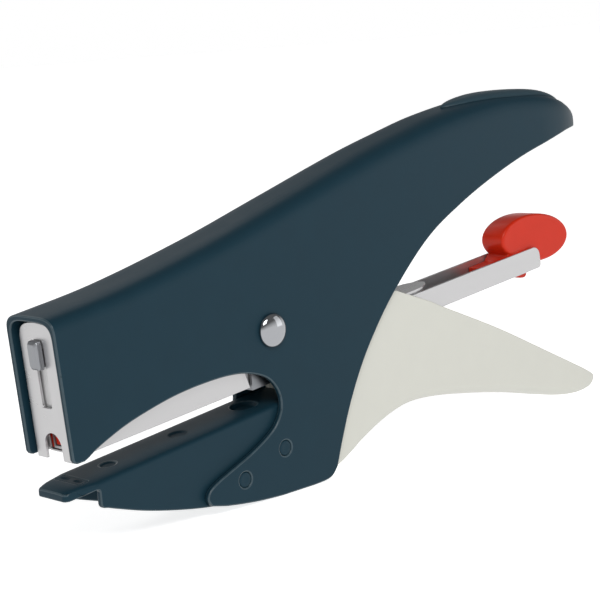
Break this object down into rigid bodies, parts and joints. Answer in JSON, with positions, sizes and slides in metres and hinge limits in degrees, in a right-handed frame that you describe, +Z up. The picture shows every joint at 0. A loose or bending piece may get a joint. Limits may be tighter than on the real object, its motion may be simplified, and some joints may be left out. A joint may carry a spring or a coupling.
{
  "type": "plier stapler",
  "caption": "Hand-held plier stapler: a dark sheet-metal upper handle with a fixed anvil arm, a cream lower handle, and a slide-out staple rail with a red thumb knob.",
  "frame": {"origin": "centre of the footprint on the standing plane, under the middle of the overall length", "axes": "+X from the nose to the handle tips, +Y across, +Z up with the stapler standing on its belly and on the lower handle's tail"},
  "size_m": [0.1968, 0.023, 0.0915],
  "materials": {
    "slate_paint": "satin slate blue paint",
    "slate_pad": "soft matte pad",
    "cream_paint": "satin cream paint",
    "nickel_plate": "satin nickel plate",
    "chrome": "polished",
    "dark_steel": "plain steel",
    "red_plastic": "moulded red",
    "black_rubber": "moulded rubber"
  },
  "bodies": {
    "frame": {"body_shell": "slate_paint", "palm_pad": "slate_pad", "anvil_arm": "slate_paint", "anvil_plate": "slate_paint", "main_rivet": "chrome", "pivot_bush": "dark_steel", "stop_buffer": "black_rubber", "return_spring": "dark_steel", "arm_rivet_front_left": "slate_paint", "arm_rivet_front_right": "slate_paint", "arm_rivet_rear_left": "slate_paint", "arm_rivet_rear_right": "slate_paint"},
    "handle": {"lower_handle": "cream_paint", "drive_lever": "dark_steel", "lever_pin_front": "dark_steel", "lever_pin_rear": "dark_steel"},
    "magazine": {"front_head": "nickel_plate", "magazine_channel": "nickel_plate", "staple_core": "nickel_plate", "magazine_cover": "nickel_plate", "magazine_bracket": "dark_steel", "driver_spring": "dark_steel"},
    "driver": {"driver_blade": "dark_steel", "driver_lug": "dark_steel", "lug_rivet": "dark_steel"},
    "loader": {"thumb_knob": "red_plastic", "pusher_rod": "chrome", "pusher_spring": "dark_steel", "latch_pin": "dark_steel", "latch_spring": "dark_steel"},
    "pusher": {"pusher_head": "red_plastic"},
    "latch": {"latch_tongue": "red_plastic"}
  },
  "joints": [
    {"name": "handle_squeeze", "type": "hinge", "parent": "frame", "child": "handle", "pos_m": [-0.0351, 0, 0.0414], "axis": [0, -1, 0], "range_deg": [0, 13], "stiffness_Nm_per_rad": 3, "springref_deg": -22.92, "deforming": ["return_spring", "driver_spring"]},
    {"name": "magazine_swing", "type": "hinge", "parent": "frame", "child": "magazine", "pos_m": [-0.0351, 0, 0.0414], "axis": [0, -1, 0], "range_deg": [0, 4.61]},
    {"name": "driver_slide", "type": "slide", "parent": "magazine", "child": "driver", "axis": [0.0645, 0, -0.9979], "range_m": [0, 0.00852]},
    {"name": "loading_slide", "type": "slide", "parent": "magazine", "child": "loader", "axis": [0.9945, 0, 0.1045], "range_m": [0, 0.12]},
    {"name": "pusher_feed", "type": "slide", "parent": "loader", "child": "pusher", "axis": [0.9945, 0, 0.1045], "range_m": [0, 0.05], "stiffness_N_per_m": 20, "springref_m": -0.03, "deforming": ["pusher_spring"]},
    {"name": "latch_press", "type": "hinge", "parent": "loader", "child": "latch", "pos_m": [0.06112, 0, 0.04167], "axis": [0, -1, 0], "range_deg": [0, 6], "stiffness_Nm_per_rad": 0.02, "springref_deg": -17.19, "deforming": ["latch_spring"]}
  ],
  "couplings": [
    {"joint": "magazine_swing", "follows": "handle_squeeze", "ratio": 0.354},
    {"joint": "driver_slide", "follows": "handle_squeeze", "m_per_rad": 0.0375}
  ]
}
